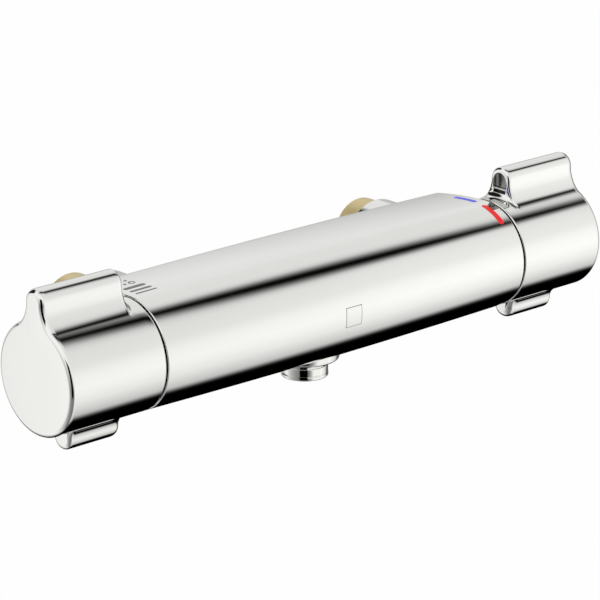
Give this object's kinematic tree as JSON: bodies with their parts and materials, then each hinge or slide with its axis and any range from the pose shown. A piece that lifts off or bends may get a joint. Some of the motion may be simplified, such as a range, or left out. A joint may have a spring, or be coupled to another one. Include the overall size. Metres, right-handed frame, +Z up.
{
  "type": "thermostatic shower mixer",
  "caption": "Wall-mounted thermostatic bar mixer for a shower, with a flow handle, a temperature handle, stop buttons, threaded wall inlets and a hose outlet below.",
  "frame": {"origin": "midway between the mouths of the two wall inlets", "axes": "+X along the bar to the temperature handle, +Y out of the inlets to the wall, +Z up"},
  "size_m": [0.288, 0.0846, 0.0702],
  "materials": {
    "chrome_plate": "polished chrome plate on brass",
    "handle_chrome": "polished chrome plate on zinc",
    "brass": "turned brass, bare",
    "inner_brass": "turned brass, bare",
    "steel": "stainless steel",
    "spring_steel": "stainless spring wire",
    "seal_rubber": "smooth moulded rubber",
    "white_plastic": "moulded acetal",
    "grey_plastic": "moulded acetal",
    "button_plate": "chrome plate on plastic",
    "ceramic": "lapped alumina ceramic",
    "copper": "copper case",
    "red_enamel": "glossy enamel",
    "blue_enamel": "glossy enamel",
    "grey_enamel": "satin enamel",
    "badge_plate": "satin chrome, bare"
  },
  "bodies": {
    "mixer": {"body_casting": "chrome_plate", "hot_inlet_connector": "brass", "cold_inlet_connector": "brass", "inlet_seal_washers": "seal_rubber", "connector_o_rings": "seal_rubber", "connector_lock_screws": "steel", "inlet_strainers": "steel", "hot_check_valve_cage": "white_plastic", "cold_check_valve_cage": "white_plastic", "hot_check_valve_spring": "spring_steel", "cold_check_valve_spring": "spring_steel", "hose_outlet_nipple": "chrome_plate", "outlet_o_ring": "seal_rubber", "flow_headwork": "inner_brass", "flow_retaining_nut": "inner_brass", "flow_o_ring": "seal_rubber", "flow_seat_seal": "seal_rubber", "flow_fixed_disc": "ceramic", "flow_stop_ring": "white_plastic", "cartridge_housing": "white_plastic", "cartridge_cap": "inner_brass", "cartridge_retaining_nut": "inner_brass", "cartridge_o_rings": "seal_rubber", "cold_seat_ring": "steel", "return_spring": "spring_steel", "temperature_stop_ring": "white_plastic", "red_mark": "red_enamel", "blue_mark": "blue_enamel", "flow_marks": "grey_enamel", "front_badge": "badge_plate"},
    "flow_control": {"flow_handle": "handle_chrome", "flow_adapter": "white_plastic", "flow_handle_screw": "steel", "flow_snap_ring": "spring_steel", "flow_spindle": "inner_brass", "flow_spindle_o_rings": "seal_rubber", "flow_circlip": "spring_steel", "flow_moving_disc": "ceramic", "flow_button_spring": "spring_steel"},
    "flow_button": {"flow_stop_button": "button_plate"},
    "temperature_control": {"temperature_handle": "handle_chrome", "temperature_adapter": "white_plastic", "temperature_handle_screw": "steel", "temperature_snap_ring": "spring_steel", "temperature_spindle": "inner_brass", "temperature_spindle_o_rings": "seal_rubber", "temperature_circlip": "spring_steel", "temperature_pointer": "badge_plate", "temperature_button_spring": "spring_steel"},
    "temperature_button": {"temperature_stop_button": "button_plate"},
    "regulator": {"regulating_nut": "white_plastic", "overload_cup": "steel", "overload_spring": "spring_steel", "wax_element": "copper", "regulating_piston": "grey_plastic"},
    "hot_check_valve": {"hot_check_valve_poppet": "grey_plastic"},
    "cold_check_valve": {"cold_check_valve_poppet": "grey_plastic"}
  },
  "joints": [
    {"name": "flow_turn", "type": "hinge", "parent": "mixer", "child": "flow_control", "pos_m": [-0.12, -0.0614, 0], "axis": [-1, 0, 0], "range_deg": [0, 90]},
    {"name": "temperature_turn", "type": "hinge", "parent": "mixer", "child": "temperature_control", "pos_m": [0.12, -0.0614, 0], "axis": [1, 0, 0], "range_deg": [-60, 42]},
    {"name": "flow_button_press", "type": "slide", "parent": "flow_control", "child": "flow_button", "axis": [-1, 0, 0], "range_m": [0, 0.0025], "stiffness_N_per_m": 600, "springref_m": -0.002, "deforming": ["flow_button_spring"]},
    {"name": "temperature_button_press", "type": "slide", "parent": "temperature_control", "child": "temperature_button", "axis": [1, 0, 0], "range_m": [0, 0.0025], "stiffness_N_per_m": 600, "springref_m": -0.002, "deforming": ["temperature_button_spring"]},
    {"name": "regulator_travel", "type": "slide", "parent": "mixer", "child": "regulator", "axis": [1, 0, 0], "range_m": [-0.00134, 0.00094], "deforming": ["return_spring"]},
    {"name": "hot_check_open", "type": "slide", "parent": "mixer", "child": "hot_check_valve", "axis": [0, -1, 0], "range_m": [0, 0.0025], "stiffness_N_per_m": 60, "springref_m": -0.002, "deforming": ["hot_check_valve_spring"]},
    {"name": "cold_check_open", "type": "slide", "parent": "mixer", "child": "cold_check_valve", "axis": [0, -1, 0], "range_m": [0, 0.0025], "stiffness_N_per_m": 60, "springref_m": -0.002, "deforming": ["cold_check_valve_spring"]}
  ],
  "couplings": [
    {"joint": "regulator_travel", "follows": "temperature_turn", "m_per_rad": 0.001273}
  ]
}
